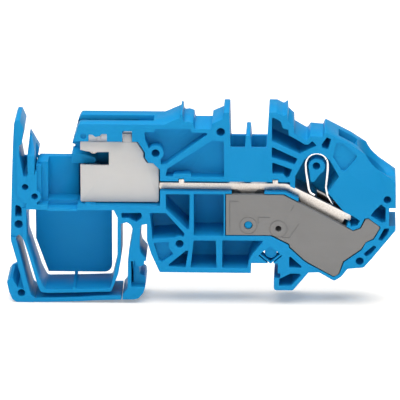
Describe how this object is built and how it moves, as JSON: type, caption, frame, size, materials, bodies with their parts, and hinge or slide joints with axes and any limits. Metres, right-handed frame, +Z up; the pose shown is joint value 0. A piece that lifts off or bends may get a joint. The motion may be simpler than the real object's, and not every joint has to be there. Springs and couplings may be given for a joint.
{
  "type": "din rail terminal block",
  "caption": "Neutral-disconnect terminal block for a 35 mm rail, open on one side, with a sliding link, spring clamp, busbar bay and sprung rail latch.",
  "frame": {"origin": "middle of the rail seat, on the plane of the rail's flanges", "axes": "+X along the block toward the conductor clamp, +Y toward the closed back wall, +Z up from the rail"},
  "size_m": [0.0998, 0.012, 0.0516],
  "materials": {
    "housing_blue": "moulded polyamide, satin",
    "guide_grey": "moulded, matte",
    "slide_grey": "moulded, matte",
    "tinned_copper": "tin plated, grainy",
    "spring_steel": "bright stainless"
  },
  "bodies": {
    "body": {"housing": "housing_blue", "current_bar": "tinned_copper", "clamp_spring_anchor": "spring_steel", "conductor_guide": "guide_grey"},
    "slide": {"slide_carriage": "slide_grey", "slide_contact": "tinned_copper", "jaw_spring": "spring_steel", "lip_spring": "spring_steel"},
    "clamp_leg": {"clamp_spring_leg": "spring_steel"},
    "hook": {"busbar_hook": "housing_blue"},
    "latch_leg": {"latch_leg": "housing_blue"},
    "latch_arm": {"latch_arm": "housing_blue"},
    "latch_link": {"latch_link": "housing_blue"}
  },
  "joints": [
    {"name": "slide_travel", "type": "slide", "parent": "body", "child": "slide", "axis": [-1, 0, 0], "range_m": [0, 0.0078]},
    {"name": "clamp_release", "type": "hinge", "parent": "body", "child": "clamp_leg", "pos_m": [0.0268, 0, 0.02865], "axis": [0, 1, 0], "range_deg": [0, 14], "stiffness_Nm_per_rad": 0.02},
    {"name": "hook_flex", "type": "hinge", "parent": "body", "child": "hook", "pos_m": [-0.0465, 0, 0.0268], "axis": [0, -1, 0], "range_deg": [0, 6], "stiffness_Nm_per_rad": 0.05},
    {"name": "latch_release", "type": "hinge", "parent": "body", "child": "latch_leg", "pos_m": [-0.0193, 0, 0.0118], "axis": [0, 1, 0], "range_deg": [0, 4.6], "stiffness_Nm_per_rad": 0.1},
    {"name": "latch_arm_flex", "type": "hinge", "parent": "body", "child": "latch_arm", "pos_m": [-0.0509, 0, 0.0089], "axis": [0, 1, 0], "range_deg": [0, 5.1], "stiffness_Nm_per_rad": 0.05},
    {"name": "latch_link_flex", "type": "hinge", "parent": "latch_arm", "child": "latch_link", "pos_m": [-0.0458, 0, -0.00795], "axis": [0, 1, 0], "range_deg": [-7.1, 0], "stiffness_Nm_per_rad": 0.005}
  ],
  "couplings": [
    {"joint": "latch_arm_flex", "follows": "latch_release", "ratio": 1.087},
    {"joint": "latch_link_flex", "follows": "latch_release", "ratio": -1.49}
  ]
}
